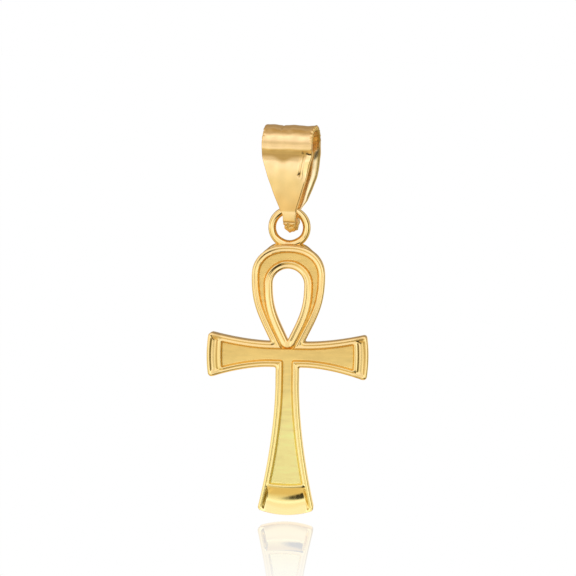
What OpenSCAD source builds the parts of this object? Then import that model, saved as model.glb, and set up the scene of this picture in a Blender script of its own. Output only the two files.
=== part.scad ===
// Ankh pendant: a cast ankh with a ring soldered on its loop, hung in a folded sheet bail.
// Millimetres, +Z up, and the front of the ankh looks towards -Y.
// The origin is the middle of the bail's channel, where the chain lies.

/* [Bail] */
// Width of the bail across its top fold
bail_w = 3.96; // [3:0.01:5.5]
// Diameter of the channel for the chain
channel_d = 2.3; // [1.6:0.01:2.8]
// Thickness of the bail's sheet
sheet_t = 0.32; // [0.2:0.01:0.45]
// Height from the middle of the channel down to the middle of the ring's wire
bail_drop = 5.06; // [4:0.01:8]
// How far each leg of the bail bows out from a straight taper
leg_bow = 0.26; // [0:0.01:0.4]
// Depth of the crease pressed across each leg, under the top fold
crease_depth = 0.06; // [0:0.01:0.12]
// Length of the solder tip below the floor that the wire hangs on
tip_h = 1.04; // [0.5:0.01:1.5]
// Turn of the bail about the vertical, as it hangs
bail_turn = -9.5; // [-10:0.5:10]
// Clearance between either edge of the strip and the side of the ring's hole that it passes through
neck_clearance = 0.5; // [0.48:0.01:0.6]
// Clearance between the ring's wire and each leg of the bail
wire_clearance = 0.38; // [0.36:0.01:0.45]
// Clearance between the ring's wire and the floor that it hangs over
floor_clearance = 0.34; // [0.3:0.01:0.45]
// How far the ankh hangs to the right of the middle of the bail: less than 0 is to the left
hang_shift = -0.06; // [-0.07:0.01:0.07]

/* [Hanging ring] */
// Diameter of the ring's wire
wire_d = 0.6; // [0.4:0.01:0.8]
// Diameter of the ring's hole
ring_hole_d = 2.06; // [1.8:0.01:3]
// How deep the ring is sunk in the top of the loop by its solder
ring_bite = 0.3; // [0.1:0.01:0.45]

/* [Loop] */
// Width of the loop
loop_w = 5.64; // [4.8:0.01:7]
// Height from the top of the loop down to its widest place
loop_rise = 2.45; // [2:0.01:3.2]
// Fullness of the top of the loop: 2 is an ellipse, and more is squarer
loop_fullness = 2.25; // [2:0.05:2.6]
// Height from the top of the loop down to the top edge of the arms
loop_h = 7.49; // [6.5:0.01:9]
// Width over both legs of the loop, where they meet the arms
loop_foot_w = 2.62; // [2.2:0.01:3]
// Slope of the loop's legs from the vertical
leg_angle = 26; // [20:0.5:30]
// Width of the loop's band at the top
band_top = 1.8; // [1.4:0.01:2.2]
// Width of the teardrop hole
eye_w = 2.46; // [1.8:0.01:2.9]
// Height of the point of the teardrop hole above the top edge of the arms
eye_gap = 0.16; // [0.05:0.01:0.4]

/* [Cross] */
// Width over both arms
arm_span = 12.5; // [9:0.01:16]
// Height of the arms at their waist
arm_waist = 1.96; // [1.6:0.01:2.8]
// How far the top edge of each arm flares up
arm_flare_up = 0.72; // [0.2:0.01:1]
// How far the bottom edge of each arm flares down
arm_flare_down = 1.0; // [0.2:0.01:1.3]
// How far the end of each arm swells out in the middle
arm_bulge = 0.16; // [0.05:0.01:0.3]
// Width of the stem at its waist
stem_waist = 1.8; // [1.5:0.01:2.4]
// Width of the stem's foot
foot_w = 4.4; // [3:0.01:6]
// Length of the stem below the arms, to the middle of its foot
stem_h = 11.56; // [8:0.01:14]
// How far the foot's edge swells down in the middle
foot_bulge = 0.4; // [0.1:0.01:0.6]
// Radius of the cross's outer corners
corner_r = 0.3; // [0.25:0.01:0.4]

/* [Relief] */
// Thickness of the casting at the top of its rims
cast_t = 1.3; // [0.9:0.01:1.8]
// Depth of the sunk field below the rims
field_depth = 0.24; // [0.1:0.01:0.4]
// Width of the double rim along the long edges
rim_w = 0.5; // [0.44:0.01:0.6]
// Width of the double rim round the teardrop hole
eye_rim_w = 0.6; // [0.44:0.01:0.7]
// Width of the rim and hollow at each arm's end
end_rim_w = 1.12; // [0.6:0.01:1.6]
// Height of the rim and hollow at the foot
foot_rim_h = 2.36; // [1:0.01:3]
// Width of the rounded bead along an outer edge
bead_w = 0.19; // [0.12:0.01:0.2]
// Width of the rounded bead along the field
inner_bead_w = 0.2; // [0.12:0.01:0.22]
// Height of the beads' round tops
bead_round = 0.1; // [0.05:0.01:0.15]
// Depth of the polished hollow between the two beads, where it is wide
hollow_depth = 0.2; // [0.05:0.01:0.3]
// Width over which the hollow gets most of its depth
hollow_run = 0.3; // [0.1:0.01:0.6]
// Bevel round the back edge
back_bevel = 0.08; // [0.02:0.01:0.12]

/* [Hidden] */

// Bail, worked out from the wire that it holds
channel_r = channel_d / 2;
fold_r = channel_r + sheet_t;
neck_w = ring_hole_d - 2 * neck_clearance;
gap_r = wire_d / 2 + wire_clearance;
floor_h = wire_d / 2 + floor_clearance;
leg_top = channel_r + sheet_t / 2;
leg_end = gap_r + sheet_t / 2;
tip_z = -bail_drop - floor_h - tip_h;
// Shares of the drop at which the crease lies and over which it fades
crease_at = 0.13;
crease_run = 0.045;
// Shares of the drop between which the bail narrows, and how softly it starts and stops
taper_start = 0.15;
taper_end = 0.98;
taper_ease = 0.03;
// How the bail keeps its width on the way down: 1 is a straight taper, and less is fuller
taper_power = 0.88;
// Share of the solder tip that is rounded across the strip
tip_round = 0.6;
// How square the round ends of the slot and of the tip are: 2 is an ellipse, and more is squarer
slot_fullness = 3;
tip_fullness = 2.2;
leg_steps = 20;
tip_steps = 8;
// How far a cutting shape reaches past what it cuts
cut_margin = 1;

// Ring and casting, worked out downwards from the middle of the wire
ring_r = (ring_hole_d + wire_d) / 2;
ring_z = -bail_drop - ring_r;
loop_top_z = ring_z - ring_r - wire_d / 2 + ring_bite;
loop_z = loop_top_z - loop_rise;
arm_top_z = loop_top_z - loop_h;
arm_bottom_z = arm_top_z - arm_waist;
foot_z = arm_bottom_z - stem_h;
foot_corner_z = foot_z + foot_bulge;
// Share of the stem's length over which it stays narrow, under the arms
stem_straight = 0.12;
stem_waist_z = arm_bottom_z - stem_straight * stem_h;
eye_r = eye_w / 2;
eye_z = loop_top_z - band_top - eye_r;
eye_tip_z = arm_top_z + eye_gap;
half_t = cast_t / 2;
// Share of the half span where the arms start to flare, and how the flares grow
flare_start = 0.22;
flare_power = 1.75;
// How far the curve of the loop's legs is pulled straight at either end, as a share of its height
leg_pull = 0.42;
// How deep the loop's legs run into the border of the arms
leg_sink = 0.48 * rim_w;
// Corners inside the outline
field_corner_r = 0.08;
armpit_r = 0.14;
// Width of field over which the loop's field sinks to its full depth, and its least depth and width
field_run = 0.35;
field_least = 0.03;

// Points along each stretch of an outline
arm_steps = 8;
corner_steps = 4;
end_steps = 4;
stem_steps = 12;
foot_steps = 4;
eye_steps = 10;
leg_curve_steps = 8;
base_steps = 2;
// How much closer the hole's points lie towards its tip
eye_crowding = 1.3;
ring_sides = 64;
wire_sides = 24;
fold_sides = 96;

// Section of a border, from the outer edge in to the field.
// Columns: stretch (0 outer bead, 1 hollow, 2 inner bead), share of the stretch's width,
// share of the bead's round below its top, share of the hollow's depth
BORDER = [
    [0, 0.00, 1.00, 0.0],
    [0, 0.20, 0.25, 0.0],
    [0, 0.50, 0.00, 0.0],
    [0, 0.82, 0.20, 0.2],
    [1, 0.20, 0.00, 0.7],
    [1, 0.50, 0.00, 1.0],
    [1, 0.80, 0.00, 0.7],
    [2, 0.18, 0.20, 0.2],
    [2, 0.50, 0.00, 0.0],
    [2, 0.85, 0.30, 0.0],
    [2, 1.00, 1.00, 0.0],
];

function lerp(a, b, s) = a + (b - a) * s;
function unit(v) = v / norm(v);
function turned(v, a) = [v[0] * cos(a) - v[1] * sin(a), v[0] * sin(a) + v[1] * cos(a)];
function turn_side(a, b) = sign(a[0] * b[1] - a[1] * b[0]);
function bezier(a, b, c, d, s) =
    a * pow(1 - s, 3) + b * 3 * s * pow(1 - s, 2) + c * 3 * s * s * (1 - s) + d * pow(s, 3);

// The smaller of a value and 1, and the larger of a value and 0, both with a soft bend
function soft_top(v, e) = (v + 1) / 2 - sqrt(pow((v - 1) / 2, 2) + e * e);
function soft_bottom(v, e) = v / 2 + sqrt(pow(v / 2, 2) + e * e);

// Share of the bail's extra width that is left at a share of its drop
function taper(s) =
    let (left = (taper_end - s) / (taper_end - taper_start))
    pow(soft_bottom(soft_top(left, taper_ease), taper_ease), taper_power);
function bail_half_w(s) = lerp(neck_w, bail_w, taper(s)) / 2;

// Half the depth of the bail to the middle of its sheet, at a share of the drop
function crease(s) = crease_depth * exp(-pow((s - crease_at) / crease_run, 2) / 2);
function leg_half(s) = lerp(leg_top, leg_end, s) + leg_bow * sin(180 * s) - crease(s);

// A quarter of a round end of half width w and height h, whose sides are straighter the fuller it is
function round_end(w, h, fullness, steps) = [
    for (i = [1:steps])
        let (a = 90 * i / steps, e = 2 / fullness)
        [i == steps ? 0 : w * pow(cos(a), e), -h * pow(sin(a), e)]
];

// Right half of the bail's side outline, at a distance out from the middle of the sheet,
// from the level of the channel down to a round end of depth end_h
function leg_outline(out, end_h, fullness) = concat(
    [for (i = [0:leg_steps]) let (s = i / leg_steps) [leg_half(s) + out, -s * bail_drop]],
    [for (p = round_end(leg_end + out, end_h, fullness, tip_steps)) p - [0, bail_drop]]
);

// Right half of the bail's front outline, from above the fold to the middle of the tip
function front_outline() =
    let (round_h = tip_round * tip_h, down = -tip_z - round_h)
    concat(
        [[bail_half_w(0), fold_r + cut_margin]],
        [for (i = [0:leg_steps]) let (z = down * i / leg_steps) [bail_half_w(z / bail_drop), -z]],
        [for (p = round_end(bail_half_w(down / bail_drop), round_h, tip_fullness, tip_steps)) p - [0, down]]
    );

// A half outline and its mirror image, as one closed outline.
// ends is how many of the half's own ends lie on the middle line.
function whole(half, ends) =
    let (last = len(half) - 1)
    concat(half, [for (i = [last - 1:-1:ends - 1]) [-half[i][0], half[i][1]]]);

// An arc of radius r in place of the corner p, between the ways into it and out of it
function corner(p, way_in, way_out, r) =
    let (
        side = turn_side(way_in, way_out),
        bend = acos(way_in * way_out),
        start = p - way_in * r * tan(bend / 2),
        centre = start + turned(way_in, 90 * side) * r
    )
    [for (i = [0:corner_steps]) centre + turned(start - centre, side * bend * i / corner_steps)];

// Edges of the cross
function flare(s) = pow(max(0, s), flare_power);
function arm_flare(x) = flare((2 * x / arm_span - flare_start) / (1 - flare_start));
function arm_top(x) = arm_top_z + arm_flare_up * arm_flare(x);
function arm_bottom(x) = arm_bottom_z - arm_flare_down * arm_flare(x);
function stem_half(z) =
    lerp(stem_waist, foot_w, flare((stem_waist_z - z) / (stem_waist_z - foot_corner_z))) / 2;

// Right half of an outline of the cross, from beside the middle of its top edge round to the
// middle of its foot. It lies inside the outer edge by long on the arms and the stem,
// by end at the arms' ends and by foot at the foot.
function half_cross(long, end, foot, r) =
    let (
        top = function (x) arm_top(x) - long,
        bottom = function (x) arm_bottom(x) + long,
        side = function (z) stem_half(z) - long,
        step = 0.01,
        end_x = arm_span / 2 - arm_bulge - end,
        end_top = [end_x, top(end_x)],
        end_low = [end_x, bottom(end_x)],
        bow = [2 * arm_bulge, (end_low[1] - end_top[1]) / 2],
        upper = corner(end_top, unit([step, top(end_x) - top(end_x - step)]), unit(bow), r),
        lower = corner(
            end_low, unit([-bow[0], bow[1]]), unit([-step, bottom(end_x - step) - bottom(end_x)]), r
        ),
        heel_z = foot_corner_z + foot,
        heel_x = side(heel_z),
        heel = corner(
            [heel_x, heel_z], unit([heel_x - side(heel_z + step), -step]), unit([-heel_x, -2 * foot_bulge]), r
        ),
        armpit = corner([side(arm_bottom_z + long), arm_bottom_z + long], [-1, 0], [0, -1], armpit_r),
        swell = function (s) 4 * s * (1 - s)
    )
    concat(
        [
            for (i = [0:arm_steps - 1])
                let (x = lerp(side(arm_bottom_z), upper[0][0], i / arm_steps)) [x, top(x)]
        ],
        upper,
        [
            for (i = [1:end_steps - 1])
                let (
                    s = i / end_steps,
                    p = lerp(upper[corner_steps], lower[0], s),
                    out = end_x + arm_bulge - (upper[corner_steps][0] + lower[0][0]) / 2
                )
                p + [out * swell(s), 0]
        ],
        lower,
        [
            for (i = [1:arm_steps - 1])
                let (x = lerp(lower[corner_steps][0], armpit[0][0], i / arm_steps)) [x, bottom(x)]
        ],
        armpit,
        [
            for (i = [1:stem_steps - 1])
                let (z = lerp(armpit[corner_steps][1], heel[0][1], i / stem_steps)) [side(z), z]
        ],
        heel,
        [
            for (i = [1:foot_steps - 1])
                let (s = i / foot_steps, p = heel[corner_steps])
                [lerp(p[0], 0, s), lerp(p[1], foot_z + foot, 1 - pow(1 - s, 2))]
        ],
        [[0, foot_z + foot]]
    );

// How far a row of the border lies from the outer edge, for a border of width w
function row_place(row, w) =
    row[0] == 0 ? row[1] * bead_w
    : row[0] == 1 ? lerp(bead_w, w - inner_bead_w, row[1])
    : w - inner_bead_w * (1 - row[1]);

// Height of the front above the back in a row of the border, where the hollow is gap wide
function row_height(row, gap) =
    cast_t - bead_round * row[2] - hollow_depth * (1 - exp(-gap / hollow_run)) * row[3];

// A point of the casting: its place in the front view and its height above the back
function cast_point(p, h) = [p[0], half_t - h, p[1]];

// Triangles between two rings of count points, whose first points are a and b
function band(a, b, count) = [
    for (i = [0:count - 1])
        let (j = (i + 1) % count)
        each [[a + i, a + j, b + j], [a + i, b + j, b + i]],
];

// The flat face inside a ring of the cross, in strips from one side to the other.
// first is the ring's first point, and n is the number of points in half of it.
function cross_cap(first, n) =
    let (
        m = function (k) 2 * (n - 1) - k,
        top = function (k) k,
        low_end = arm_steps + 2 * corner_steps + end_steps,
        low = function (k) low_end + arm_steps - k,
        pit = low_end + arm_steps,
        faces = concat(
            [[0, pit, m(pit), m(0)]],
            [for (k = [0:arm_steps - 1]) [top(k), top(k + 1), low(k + 1), low(k)]],
            [for (k = [0:arm_steps - 1]) [m(low(k)), m(low(k + 1)), m(top(k + 1)), m(top(k))]],
            [[for (k = [arm_steps:low_end]) k]],
            [[for (k = [low_end:-1:arm_steps]) m(k)]],
            [for (k = [pit:n - 3]) [k, k + 1, m(k + 1), m(k)]],
            [[n - 2, n - 1, m(n - 2)]]
        )
    )
    [for (f = faces) [for (k = f) first + k]];

function flipped(faces) = [for (f = faces) [for (i = [len(f) - 1:-1:0]) f[i]]];

module cross() {
    edge = function (d) whole(half_cross(d, d, d, corner_r - d), 1);
    inside = function (d) whole(
        half_cross(rim_w - d, end_rim_w - d, foot_rim_h - d, field_corner_r + d), 1
    );
    hollow_out = edge(bead_w);
    hollow_in = inside(inner_bead_w);
    count = len(hollow_out);
    rows = [
        for (row = BORDER)
            let (
                ring = row[0] == 0 ? edge(row[1] * bead_w)
                    : row[0] == 2 ? inside(inner_bead_w * (1 - row[1]))
                    : lerp(hollow_out, hollow_in, row[1])
            )
            [
                for (i = [0:count - 1])
                    cast_point(ring[i], row_height(row, norm(hollow_in[i] - hollow_out[i])))
            ]
    ];
    rings = concat(
        [[for (p = edge(back_bevel)) cast_point(p, 0)]],
        [[for (p = edge(0)) cast_point(p, back_bevel)]],
        rows,
        [[for (p = inside(0)) cast_point(p, cast_t - field_depth)]]
    );
    half_count = (count + 1) / 2;
    last = (len(rings) - 1) * count;
    polyhedron(
        points = [for (ring = rings) each ring],
        faces = concat(
            flipped(cross_cap(0, half_count)),
            [for (k = [0:len(rings) - 2]) each band(k * count, (k + 1) * count, count)],
            cross_cap(last, half_count)
        )
    );
}

// Right half of the loop's outer edge, from the middle of its top to the middle of its base
function half_loop() =
    let (
        widest = [loop_w / 2, loop_z],
        foot = [loop_foot_w / 2, arm_top_z],
        h = loop_z - arm_top_z,
        leg = [tan(leg_angle), 1],
        base = foot - leg * leg_sink
    )
    concat(
        [
            for (i = [0:eye_steps])
                let (a = 90 * i / eye_steps, e = 2 / loop_fullness)
                [widest[0] * pow(sin(a), e), loop_z + loop_rise * pow(cos(a), e)]
        ],
        [
            for (i = [1:leg_curve_steps])
                bezier(
                    widest, widest - [0, leg_pull * h], foot + leg * leg_pull * h, foot, i / leg_curve_steps
                )
        ],
        [base],
        [for (i = [1:base_steps]) lerp(base, [0, base[1]], i / base_steps)]
    );

// Right half of the teardrop hole's edge, with a point for each point of half_loop
function half_eye() =
    let (
        widest = [eye_r, eye_z],
        tip = [0, eye_tip_z],
        h = eye_z - eye_tip_z,
        leg = [tan(leg_angle), 1],
        steps = leg_curve_steps + 1 + base_steps
    )
    concat(
        [for (i = [0:eye_steps]) let (a = 90 * i / eye_steps) [eye_r * sin(a), eye_z + eye_r * cos(a)]],
        [
            for (i = [1:steps])
                bezier(
                    widest, widest - [0, leg_pull * h], tip + leg * leg_pull * h, tip,
                    1 - pow(1 - i / steps, eye_crowding)
                )
        ]
    );

module loop() {
    outer = whole(half_loop(), 2);
    eye = whole(half_eye(), 2);
    count = len(outer);
    span = [for (i = [0:count - 1]) norm(eye[i] - outer[i])];
    // Where the band is narrower than its two borders, they shrink to fit
    fit = [for (s = span) min(1, (s - field_least) / (rim_w + eye_rim_w))];
    depth = [for (s = span) lerp(
        field_least, field_depth, min(1, max(0, (s - rim_w - eye_rim_w) / field_run))
    )];
    at = function (i, d) lerp(outer[i], eye[i], d / span[i]);
    rows = function (w, from_eye) [
        for (row = BORDER)
            [
                for (i = [0:count - 1])
                    let (d = row_place(row, w) * fit[i])
                    cast_point(
                        at(i, from_eye ? span[i] - d : d), row_height(row, w - bead_w - inner_bead_w)
                    )
            ]
    ];
    floor_ring = function (d) [
        for (i = [0:count - 1])
            cast_point(at(i, d >= 0 ? d * fit[i] : span[i] + d * fit[i]), cast_t - bead_round - depth[i])
    ];
    eye_rows = rows(eye_rim_w, true);
    rings = concat(
        [[for (i = [0:count - 1]) cast_point(at(i, back_bevel * fit[i]), 0)]],
        [[for (i = [0:count - 1]) cast_point(outer[i], back_bevel)]],
        rows(rim_w, false),
        [floor_ring(rim_w + field_least / 4)],
        [floor_ring(-eye_rim_w - field_least / 4)],
        [for (k = [len(BORDER) - 1:-1:0]) eye_rows[k]],
        [[for (i = [0:count - 1]) cast_point(eye[i], back_bevel)]],
        [[for (i = [0:count - 1]) cast_point(at(i, span[i] - back_bevel * fit[i]), 0)]]
    );
    total = len(rings);
    polyhedron(
        points = [for (ring = rings) each ring],
        faces = [for (k = [0:total - 1]) each band(k * count, ((k + 1) % total) * count, count)]
    );
}

module hanging_ring() {
    translate([0, 0, ring_z])
        rotate([90, 0, 0])
            rotate_extrude($fn = ring_sides)
                translate([ring_r, 0])
                    circle(d = wire_d, $fn = wire_sides);
}

module ankh() {
    color("gold")
        translate([hang_shift, 0, 0]) {
            cross();
            loop();
            hanging_ring();
        }
}

// Stands a drawing of the side view, in depth and height, across the bail's width
module across(w) {
    rotate([90, 0, 90])
        translate([0, 0, -w / 2])
            linear_extrude(w)
                children();
}

module fold() {
    rotate([0, 90, 0])
        intersection() {
            difference() {
                cylinder(r = fold_r, h = bail_w, center = true, $fn = fold_sides);
                cylinder(r = channel_r, h = bail_w + cut_margin, center = true, $fn = fold_sides);
            }
            translate([-fold_r - cut_margin, -fold_r - cut_margin, -bail_w])
                cube([fold_r + cut_margin, 2 * (fold_r + cut_margin), 2 * bail_w]);
        }
}

module legs() {
    across(bail_w)
        difference() {
            polygon(whole(leg_outline(sheet_t / 2, floor_h + tip_h, tip_fullness), 1));
            polygon(whole(leg_outline(-sheet_t / 2, floor_h, slot_fullness), 1));
        }
}

module bail() {
    color("#e8b878")
        rotate([0, 0, bail_turn])
            intersection() {
                union() {
                    fold();
                    legs();
                }
                rotate([90, 0, 0])
                    translate([0, 0, -fold_r - cut_margin])
                        linear_extrude(2 * (fold_r + cut_margin))
                            polygon(whole(front_outline(), 1));
            }
}

bail();
ankh();
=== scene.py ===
import math

import bmesh
import bpy
import numpy as np
from bpy.props import FloatProperty, FloatVectorProperty, PointerProperty
from mathutils import Matrix, Vector


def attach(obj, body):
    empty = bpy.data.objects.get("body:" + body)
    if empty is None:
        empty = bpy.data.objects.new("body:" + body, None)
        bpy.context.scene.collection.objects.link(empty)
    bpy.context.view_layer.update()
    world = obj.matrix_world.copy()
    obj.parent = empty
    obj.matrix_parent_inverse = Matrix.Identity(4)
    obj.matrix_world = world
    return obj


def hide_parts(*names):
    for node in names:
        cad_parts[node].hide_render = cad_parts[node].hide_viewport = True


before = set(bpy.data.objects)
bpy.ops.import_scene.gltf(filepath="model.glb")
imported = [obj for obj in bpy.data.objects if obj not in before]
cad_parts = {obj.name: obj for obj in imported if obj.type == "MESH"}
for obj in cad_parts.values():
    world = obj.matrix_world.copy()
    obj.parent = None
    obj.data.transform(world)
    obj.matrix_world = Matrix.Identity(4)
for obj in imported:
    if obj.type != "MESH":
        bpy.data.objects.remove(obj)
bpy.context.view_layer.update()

bl_info = {
    "name": "Ankh Pendant",
    "version": (1, 0, 0),
    "blender": (4, 5, 0),
    "location": "View3D > Sidebar > Ankh",
    "description": "Builds the gold casting with its soldered ring, the folded bail and the studio",
    "category": "Add Mesh",
}

MM = 0.001
# Stands in for nothing where a length is divided by, and where levels are compared
TINY = 1e-9

# Sizes of the solids, in millimetres, as the part's source has them

# Bail
BAIL_W = 3.96
CHANNEL_R = 1.15
SHEET_T = 0.32
BAIL_DROP = 5.06
LEG_BOW = 0.26
CREASE_DEPTH, CREASE_AT, CREASE_RUN = 0.06, 0.13, 0.045
TIP_H = 1.04
BAIL_TURN = math.radians(-9.5)
NECK_W = 1.06
GAP_R = 0.68
FLOOR_H = 0.64
TAPER_START, TAPER_END, TAPER_EASE, TAPER_POWER = 0.15, 0.98, 0.03, 0.88
SLOT_FULLNESS, TIP_FULLNESS = 3.0, 2.2
# How far to the side the casting hangs
HANG_SHIFT = -0.06
# Ring
WIRE_R = 0.3
RING_R = 1.33
RING_Z = -BAIL_DROP - RING_R
# Loop
LOOP_W, LOOP_RISE, LOOP_FULLNESS, LOOP_H, LOOP_FOOT_W = 5.64, 2.45, 2.25, 7.49, 2.62
LEG_SLOPE = math.tan(math.radians(26))
LEG_PULL = 0.42
LOOP_TOP_Z = RING_Z - RING_R - WIRE_R + 0.3
LOOP_Z = LOOP_TOP_Z - LOOP_RISE
EYE_R = 1.23
EYE_Z = LOOP_TOP_Z - 1.8 - EYE_R
# Cross
ARM_SPAN, ARM_WAIST, ARM_UP, ARM_DOWN, ARM_BULGE = 12.5, 1.96, 0.72, 1.0, 0.16
STEM_WAIST, FOOT_W, STEM_H, FOOT_BULGE = 1.8, 4.4, 11.56, 0.4
CORNER_R, FIELD_CORNER_R, ARMPIT_R = 0.3, 0.08, 0.14
FLARE_START, FLARE_POWER = 0.22, 1.75
ARM_TOP_Z = LOOP_TOP_Z - LOOP_H
EYE_TIP_Z = ARM_TOP_Z + 0.16
ARM_LOW_Z = ARM_TOP_Z - ARM_WAIST
FOOT_Z = ARM_LOW_Z - STEM_H
FOOT_CORNER_Z = FOOT_Z + FOOT_BULGE
STEM_WAIST_Z = ARM_LOW_Z - 0.12 * STEM_H
# Relief
CAST_T, FIELD_DEPTH = 1.3, 0.24
RIM_W, EYE_RIM_W, END_RIM_W, FOOT_RIM_H = 0.5, 0.6, 1.12, 2.36
BEAD_W, BEAD_TOP, INNER_BEAD_W, BEAD_ROUND = 0.23, 0.17, 0.19, 0.13
HOLLOW_DEPTH, HOLLOW_RUN = 0.05, 0.3
BACK_BEVEL = 0.08
# How much the side walls draw in towards the back
DRAFT = 0.06
HALF_T = CAST_T / 2

# Helpers

# Edges that bend more than this stay crisp
SHARP_ANGLE = math.radians(40)
# Points nearer to each other than this are merged, in metres
MERGE_REACH = 2e-7
# How many segments of a line are measured at a time
SEGMENT_BLOCK = 8


def smooth(v):
    """Goes from 0 to 1 over v = 0 to 1 as three v squared less two v cubed, level at both ends."""
    v = np.clip(v, 0, 1)
    return v * v * (3 - 2 * v)


def passing(v, start, end):
    """Goes smoothly from 0 where v is start to 1 where v is end, whichever of the two is larger."""
    return smooth((v - start) / (end - start))


def bell(v, middle, width):
    """A bell curve: e to the minus square of the widths between v and the middle."""
    return np.exp(-((v - middle) / width) ** 2)


def lerp(a, b, s):
    """The value at a share s of the way from a to b: a plus s times their difference."""
    return a + (b - a) * s


def points(x, z):
    """Rows of two coordinates, from arrays or numbers that are spread to one shape."""
    return np.stack(np.broadcast_arrays(np.asarray(x, float), np.asarray(z, float)), -1)


def unit(v):
    """A vector divided by its length."""
    return v / np.hypot(*v)


def turns(count):
    """Angles that share a full turn out evenly, from 0 on."""
    return np.linspace(0, 2 * np.pi, count, endpoint=False)


def bezier(a, b, c, d, s):
    """A cubic curve from a to d: its four points weighted by the Bernstein polynomials of s."""
    s = s[:, None]
    return a * (1 - s) ** 3 + 3 * b * s * (1 - s) ** 2 + 3 * c * s * s * (1 - s) + d * s ** 3


def distance(p, *lines):
    """Distance of each point of p to the nearest of some polylines, a block of segments at a time.

    A point is a complex number, so that dividing by a segment gives the place along it and beside it.
    """
    p = p @ [1, 1j]
    lines = [line @ [1, 1j] for line in lines]
    start = np.concatenate([line[:-1] for line in lines])
    way = np.concatenate([np.diff(line) for line in lines])
    way[np.abs(way) < TINY] = TINY
    best = np.full(len(p), np.inf)
    blocks = len(start) // SEGMENT_BLOCK + 1
    for a, v in zip(np.array_split(start, blocks), np.array_split(way, blocks)):
        place = (p[:, None] - a) / v
        place -= np.clip(place.real, 0, 1)
        best = np.minimum(best, (np.abs(place) * np.abs(v)).min(1))
    return best


def grid_faces(index, closed=False):
    """Quads between neighbours of an array of point numbers, closed along its second side if asked."""
    if closed:
        index = np.concatenate([index, index[:, :1]], 1)
    return np.stack([index[:-1, :-1], index[:-1, 1:], index[1:, 1:], index[1:, :-1]], -1).reshape(-1, 4)


def tube(verts, joined):
    """Points, quads and end caps of a grid of points that closes round its second side.

    If it is joined, its last ring is followed by its first, and it has no caps.
    """
    ids = np.arange(verts.shape[0] * verts.shape[1]).reshape(verts.shape[:2])
    caps = [] if joined else [ids[0], ids[-1]]
    if joined:
        ids = np.concatenate([ids, ids[:1]])
    return verts.reshape(-1, 3), grid_faces(ids, True), caps


def new_object(name, verts, faces, caps=(), marks=()):
    """A mesh object at the origin from points in millimetres, with doubles merged.

    Its attributes go from 0 to 1 at each point: "worked" where the metal is satin or granular, "inner"
    on the sheet's inner face, and the dull one where the polish is missing and shade is painted in, darkening
    the gold.
    """
    mesh = bpy.data.meshes.new(name)
    mesh.from_pydata((verts * MM).tolist(), [], faces.tolist() + [cap.tolist() for cap in caps])
    for key in ("worked", "inner", "dull"):
        finish = mesh.attributes.new(key, "FLOAT", "POINT")
        if key in marks:
            finish.data.foreach_set("value", marks[key].astype(np.float32).ravel())
    bm = bmesh.new()
    bm.from_mesh(mesh)
    bmesh.ops.remove_doubles(bm, verts=bm.verts, dist=MERGE_REACH)
    bmesh.ops.recalc_face_normals(bm, faces=bm.faces)
    bm.to_mesh(mesh)
    bm.free()
    obj = bpy.data.objects.new(name, mesh)
    bpy.context.scene.collection.objects.link(obj)
    mesh.shade_smooth()
    mesh.set_sharp_from_angle(angle=SHARP_ANGLE)
    return obj


# Outlines of the casting

BASE_STEPS, TOP_STEPS, CORNER_STEPS, END_STEPS = 30, 60, 10, 40
LOW_STEPS, STEM_STEPS, HEEL_STEPS = 64, 130, 28
CURVE_STEPS, LEG_STEPS = 64, 84
# Share of the ends' swell that is lost on the way in to the field
ARM_FLATTER, FOOT_FLATTER = 0.75, 0.8
# How much the points of the hole's outline crowd towards its point
EYE_CROWDING = 1.3


def flare(s):
    """What arms and stem widen by: nothing below s = 0, and then s to the power FLARE_POWER."""
    return np.maximum(0, s) ** FLARE_POWER


def arm_flare(x):
    """The flare of the arms, which starts at a share FLARE_START of their half span and ends at 1."""
    return flare((2 * x / ARM_SPAN - FLARE_START) / (1 - FLARE_START))


def stem_half(z):
    """Half width of the stem at a level: from its waist to the foot's corners, by the flare."""
    return lerp(STEM_WAIST, FOOT_W, flare((STEM_WAIST_Z - z) / (STEM_WAIST_Z - FOOT_CORNER_Z))) / 2


def corner(p, way_in, way_out, r):
    """An arc of radius r in place of the corner p, between the ways into it and out of it.

    It starts as far before p as r times the tangent of half the bend, and turns about the point square
    to the way in at a distance r.
    """
    side = np.sign(way_in[0] * way_out[1] - way_in[1] * way_out[0])
    bend = np.arccos(np.dot(way_in, way_out))
    start = p - way_in * r * np.tan(bend / 2)
    centre = start + side * r * np.array([-way_in[1], way_in[0]])
    a = side * bend * np.linspace(0, 1, CORNER_STEPS + 1)
    d = start - centre
    return centre + points(d[0] * np.cos(a) - d[1] * np.sin(a), d[0] * np.sin(a) + d[1] * np.cos(a))


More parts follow.
